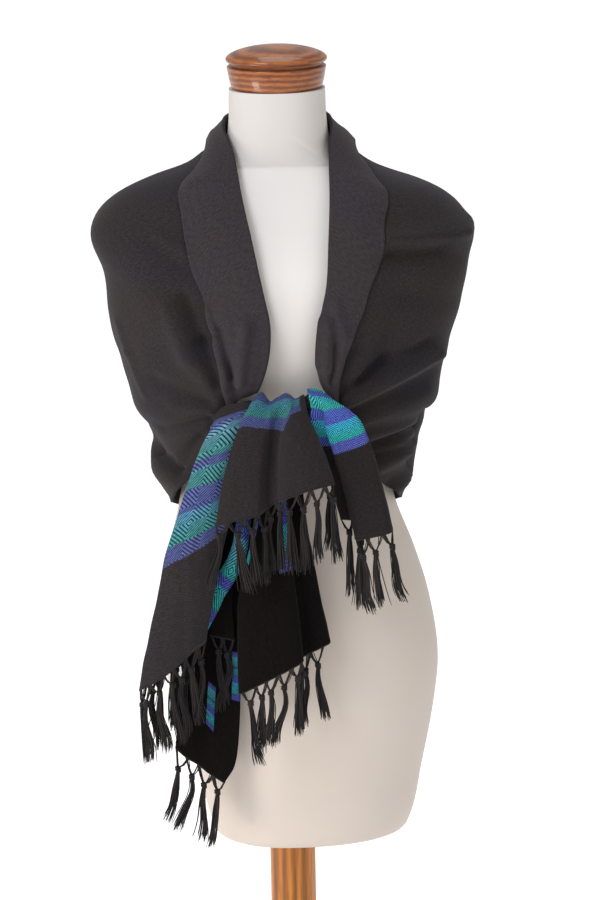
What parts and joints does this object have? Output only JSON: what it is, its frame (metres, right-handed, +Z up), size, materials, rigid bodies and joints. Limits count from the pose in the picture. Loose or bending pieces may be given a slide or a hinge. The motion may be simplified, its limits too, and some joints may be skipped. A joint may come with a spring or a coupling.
{
  "type": "shawl on a dress form",
  "caption": "A dark fringed shawl with a striped woven band near each end, tied in front at the waist of a limbless dress form that stands on a wooden pole and base.",
  "frame": {"origin": "centre of the base's bottom face, on the pole's axis", "axes": "+Z up along the pole to the neck cap, -Y out of the form's front, +X to the right in a view of the front"},
  "size_m": [0.4233, 0.3626, 1.2406],
  "materials": {
    "shawl_cotton": "woven twill, matt",
    "cover_jersey": "fine knit, matt",
    "cap_wood": "stained and varnished, glossy",
    "pole_wood": "varnished, satin"
  },
  "bodies": {
    "root": {"wrap_left_chest": "shawl_cotton", "wrap_left_arm": "shawl_cotton", "wrap_back": "shawl_cotton", "wrap_right_arm": "shawl_cotton", "wrap_right_chest": "shawl_cotton", "collar": "shawl_cotton", "knot": "shawl_cotton", "short_end_front": "shawl_cotton", "short_end_front_fringe": "shawl_cotton", "short_end_side": "shawl_cotton", "short_end_side_fringe": "shawl_cotton", "long_end_strip": "shawl_cotton", "long_end_strip_fringe": "shawl_cotton", "long_end_front": "shawl_cotton", "long_end_front_fringe": "shawl_cotton", "long_end_back": "shawl_cotton", "long_end_back_fringe": "shawl_cotton", "long_end_inner": "shawl_cotton", "long_end_inner_fringe": "shawl_cotton", "long_end_tuck": "shawl_cotton", "long_end_tuck_fringe": "shawl_cotton", "torso": "cover_jersey", "cap_base": "cap_wood", "cap_lid": "cap_wood", "pole": "pole_wood", "base": "pole_wood"}
  },
  "joints": []
}
